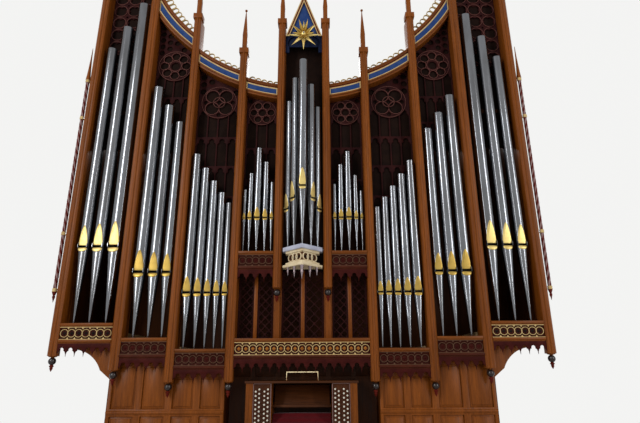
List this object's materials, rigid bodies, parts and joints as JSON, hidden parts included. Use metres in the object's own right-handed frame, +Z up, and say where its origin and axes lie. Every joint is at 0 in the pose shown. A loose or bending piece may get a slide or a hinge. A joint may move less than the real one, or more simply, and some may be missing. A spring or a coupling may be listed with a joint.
{
  "type": "gothic church pipe organ case with console",
  "caption": "Tall Gothic pipe organ: oak case of nine bays with display pipes, pierced friezes, swept cornice, pinnacles, rotating star and a recessed console.",
  "frame": {"origin": "middle of the underside of the whole instrument's bounding box, on the floor", "axes": "+Z up, -Y toward the player and the nave, +X to the right as seen from the front"},
  "size_m": [8.4738, 2.6, 11.026],
  "materials": {
    "oak": "waxed oak",
    "dark_oak": "dark stained oak",
    "maroon_paint": "dark red painted wood",
    "blue_paint": "blue painted wood with gold lines",
    "pale_wood": "pale deal",
    "gilding": "gold leaf",
    "pipe_metal": "polished tin",
    "steel": "turned steel",
    "ivory": "polished ivory substitute",
    "red_cloth": "dark red woven cloth"
  },
  "bodies": {
    "case": {"plinth": "dark_oak", "lower_frame": "oak", "lower_panels": "dark_oak", "recess_panelling": "dark_oak", "side_walls": "dark_oak", "back_wall": "dark_oak", "soundboards": "pale_wood", "knee_braces": "oak", "tower_posts_outer": "oak", "tower_posts_inner": "oak", "flat_posts": "oak", "centre_posts": "oak", "post_drops": "oak", "drop_balls": "gilding", "pinnacles": "oak", "tower_shelves": "oak", "flat_shelves": "oak", "centre_corbel": "oak", "ring_friezes": "gilding", "valances": "dark_oak", "rack_rails": "oak", "cornices": "oak", "painted_bands": "blue_paint", "cresting": "oak", "tower_screens": "maroon_paint", "outer_screens": "maroon_paint", "inner_screens": "maroon_paint", "alcove_screens": "maroon_paint", "centre_grilles": "maroon_paint", "tower_pipes": "pipe_metal", "outer_pipes": "pipe_metal", "inner_pipes": "pipe_metal", "alcove_pipes": "pipe_metal", "centre_pipes": "pipe_metal", "gilded_lips": "gilding", "centre_gable": "oak", "star_axle": "steel", "side_shafts": "oak", "console_case": "oak", "stop_knobs": "ivory", "keyboards": "ivory", "key_cover": "red_cloth", "music_desk": "dark_oak", "pedalboard": "pale_wood"},
    "star": {"star": "gilding"}
  },
  "joints": [
    {"name": "star_spin", "type": "hinge", "parent": "case", "child": "star", "pos_m": [0, -0.56, 7.9], "axis": [0, -1, 0], "continuous": true}
  ]
}
